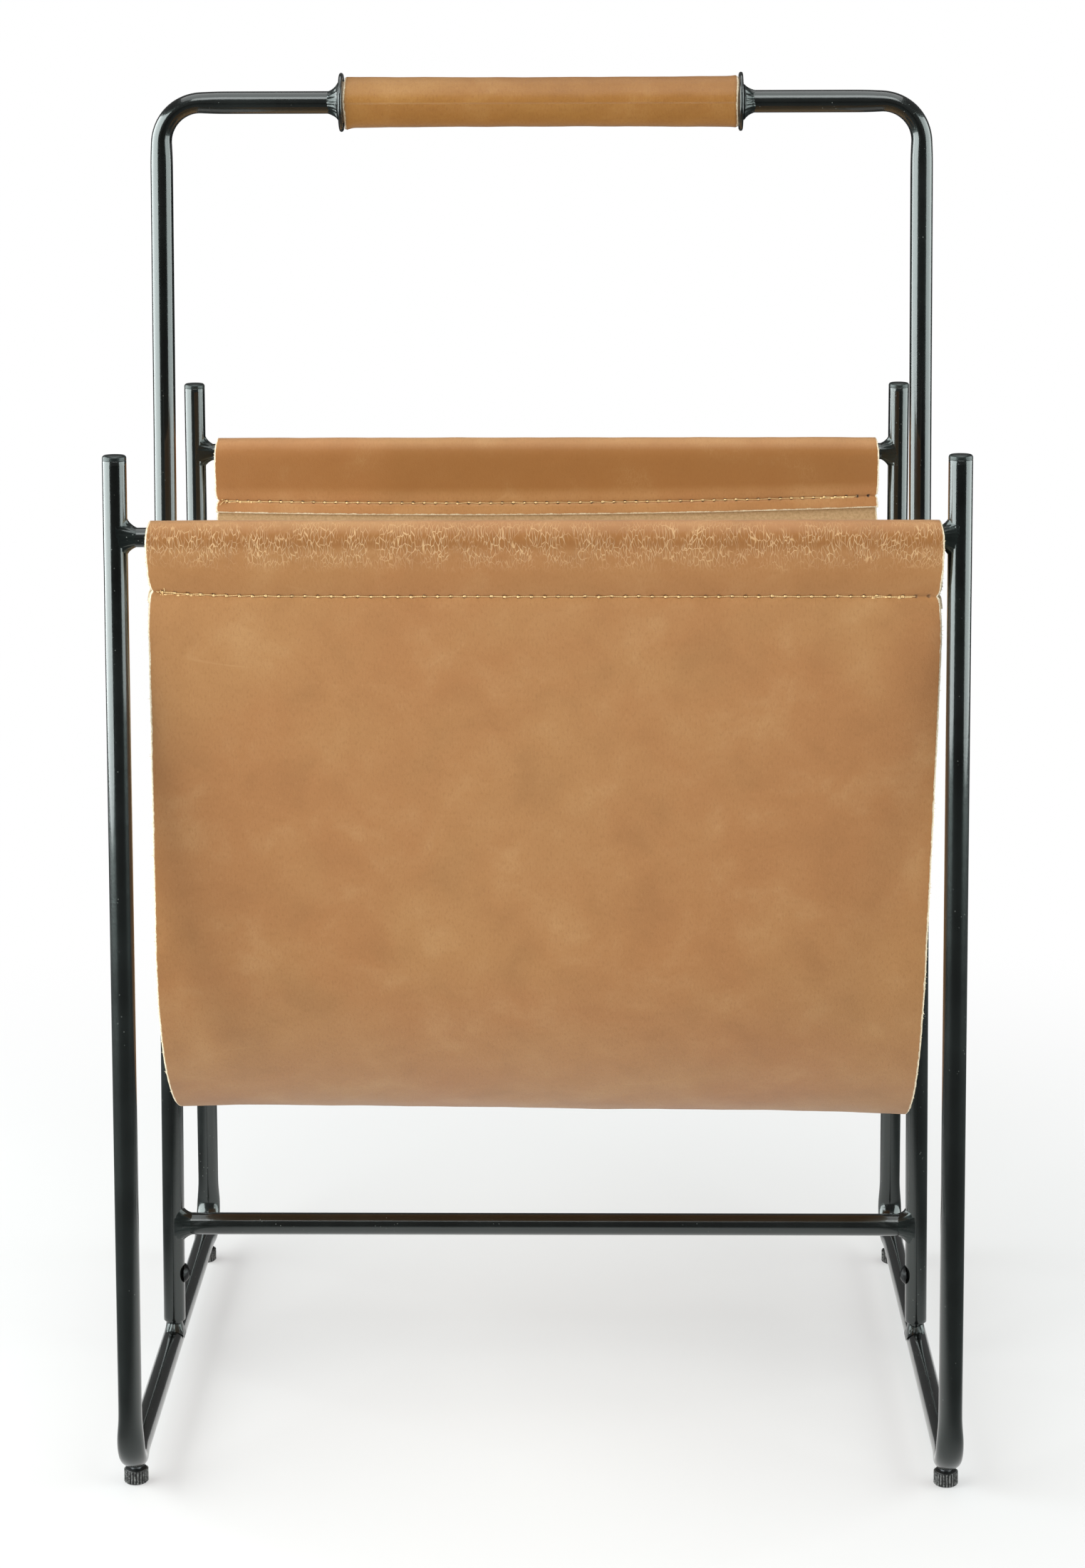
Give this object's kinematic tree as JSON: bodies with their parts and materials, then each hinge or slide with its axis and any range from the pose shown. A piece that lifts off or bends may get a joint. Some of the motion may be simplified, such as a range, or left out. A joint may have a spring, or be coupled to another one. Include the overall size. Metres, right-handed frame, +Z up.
{
  "type": "magazine rack",
  "caption": "Magazine rack with a leather sling hung between bent black steel side frames and a tall carrying handle with a leather grip.",
  "frame": {"origin": "on the floor under the middle of the rack", "axes": "+X to the right across the rack, -Y out of its front, +Z up"},
  "size_m": [0.3564, 0.3096, 0.5971],
  "materials": {
    "black_powder_coat": "satin black powder coat on steel",
    "black_screw": "black oxide steel",
    "zinc_steel": "zinc plated steel",
    "glide_plastic": "moulded black nylon",
    "sling_leather": "tan pull-up leather with raw edges",
    "grip_leather": "tan leather, smooth",
    "grip_core": "plain turned wood, hidden"
  },
  "bodies": {
    "rack": {"left_side_frame": "black_powder_coat", "right_side_frame": "black_powder_coat", "leg_end_plugs": "black_powder_coat", "front_sling_rod": "black_powder_coat", "back_sling_rod": "black_powder_coat", "rod_weld_beads": "black_powder_coat", "handle_frame": "black_powder_coat", "lower_cross_bar": "black_powder_coat", "cross_bar_weld_beads": "black_powder_coat", "left_handle_spigot": "black_powder_coat", "right_handle_spigot": "black_powder_coat", "spigot_weld_beads": "black_powder_coat", "handle_screws": "black_screw", "grip_core_sleeve": "grip_core", "left_grip_flange": "black_powder_coat", "right_grip_flange": "black_powder_coat", "flange_weld_beads": "black_powder_coat", "grip_leather_wrap": "grip_leather", "leather_sling": "sling_leather", "glide_inserts": "zinc_steel"},
    "front_left_stud": {"front_left_glide_stud": "zinc_steel"},
    "front_left_foot": {"front_left_glide_foot": "glide_plastic"},
    "front_right_stud": {"front_right_glide_stud": "zinc_steel"},
    "front_right_foot": {"front_right_glide_foot": "glide_plastic"},
    "back_left_stud": {"back_left_glide_stud": "zinc_steel"},
    "back_left_foot": {"back_left_glide_foot": "glide_plastic"},
    "back_right_stud": {"back_right_glide_stud": "zinc_steel"},
    "back_right_foot": {"back_right_glide_foot": "glide_plastic"}
  },
  "joints": [
    {"name": "front_left_glide_travel", "type": "slide", "parent": "rack", "child": "front_left_stud", "axis": [0, 0, -1], "range_m": [0, 0.0032]},
    {"name": "front_left_glide_turn", "type": "hinge", "parent": "front_left_stud", "child": "front_left_foot", "pos_m": [-0.173, -0.134, 0.0032], "axis": [0, 0, -1], "range_deg": [0, 1440]},
    {"name": "front_right_glide_travel", "type": "slide", "parent": "rack", "child": "front_right_stud", "axis": [0, 0, -1], "range_m": [0, 0.0032]},
    {"name": "front_right_glide_turn", "type": "hinge", "parent": "front_right_stud", "child": "front_right_foot", "pos_m": [0.173, -0.134, 0.0032], "axis": [0, 0, -1], "range_deg": [0, 1440]},
    {"name": "back_left_glide_travel", "type": "slide", "parent": "rack", "child": "back_left_stud", "axis": [0, 0, -1], "range_m": [0, 0.0032]},
    {"name": "back_left_glide_turn", "type": "hinge", "parent": "back_left_stud", "child": "back_left_foot", "pos_m": [-0.173, 0.134, 0.0032], "axis": [0, 0, -1], "range_deg": [0, 1440]},
    {"name": "back_right_glide_travel", "type": "slide", "parent": "rack", "child": "back_right_stud", "axis": [0, 0, -1], "range_m": [0, 0.0032]},
    {"name": "back_right_glide_turn", "type": "hinge", "parent": "back_right_stud", "child": "back_right_foot", "pos_m": [0.173, 0.134, 0.0032], "axis": [0, 0, -1], "range_deg": [0, 1440]}
  ],
  "couplings": [
    {"joint": "front_left_glide_turn", "follows": "front_left_glide_travel", "rad_per_m": 7854},
    {"joint": "front_right_glide_turn", "follows": "front_right_glide_travel", "rad_per_m": 7854},
    {"joint": "back_left_glide_turn", "follows": "back_left_glide_travel", "rad_per_m": 7854},
    {"joint": "back_right_glide_turn", "follows": "back_right_glide_travel", "rad_per_m": 7854}
  ]
}
